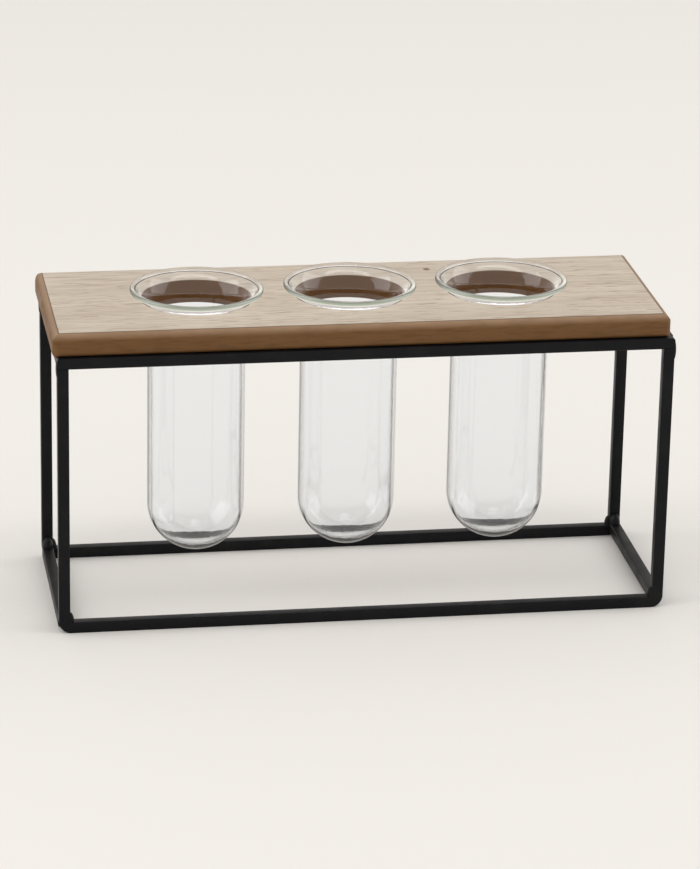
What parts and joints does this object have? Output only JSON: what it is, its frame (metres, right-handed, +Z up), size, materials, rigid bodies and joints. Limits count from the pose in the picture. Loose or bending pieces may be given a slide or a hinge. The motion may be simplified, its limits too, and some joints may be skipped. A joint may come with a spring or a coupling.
{
  "type": "test tube vase",
  "caption": "Flower vase of flared glass test tubes hanging through a veneered wood board on an open black square-bar steel frame.",
  "frame": {"origin": "on the surface the vase stands on, under the middle of the whole object", "axes": "+X along the board, +Y from front to rear, +Z up"},
  "size_m": [0.3032, 0.1024, 0.1581],
  "materials": {
    "frame_coating": "satin black powder coat",
    "zinc_screw": "bright zinc plate",
    "stained_fibreboard": "brown stained, sealed fibreboard edge",
    "pale_veneer": "pale greige straight-grained veneer, matt lacquer",
    "clear_glass": "clear polished glass with a faint green tint"
  },
  "bodies": {
    "stand": {"front_leg_hoop": "frame_coating", "rear_leg_hoop": "frame_coating", "front_top_rail": "frame_coating", "rear_top_rail": "frame_coating", "left_top_end_bar": "frame_coating", "right_top_end_bar": "frame_coating", "left_foot_end_bar": "frame_coating", "right_foot_end_bar": "frame_coating", "cap_weld_front_left": "frame_coating", "cap_weld_front_right": "frame_coating", "cap_weld_rear_right": "frame_coating", "cap_weld_rear_left": "frame_coating", "end_weld_front_left": "frame_coating", "end_weld_front_right": "frame_coating", "end_weld_rear_right": "frame_coating", "end_weld_rear_left": "frame_coating", "heel_weld_front_left": "frame_coating", "heel_weld_front_right": "frame_coating", "heel_weld_rear_right": "frame_coating", "heel_weld_rear_left": "frame_coating", "fixing_tab_front_left": "frame_coating", "fixing_tab_front_right": "frame_coating", "fixing_tab_rear_right": "frame_coating", "fixing_tab_rear_left": "frame_coating", "board_screws": "zinc_screw", "board_core": "stained_fibreboard", "top_veneer": "pale_veneer", "underside_veneer": "pale_veneer"},
    "glass_tube_left": {"glass_tube_left": "clear_glass"},
    "glass_tube_middle": {"glass_tube_middle": "clear_glass"},
    "glass_tube_right": {"glass_tube_right": "clear_glass"}
  },
  "joints": [
    {"name": "lift_tube_left", "type": "slide", "parent": "stand", "child": "glass_tube_left", "axis": [0, 0, 1], "range_m": [0, 0.15]},
    {"name": "lift_tube_middle", "type": "slide", "parent": "stand", "child": "glass_tube_middle", "axis": [0, 0, 1], "range_m": [0, 0.15]},
    {"name": "lift_tube_right", "type": "slide", "parent": "stand", "child": "glass_tube_right", "axis": [0, 0, 1], "range_m": [0, 0.15]}
  ]
}
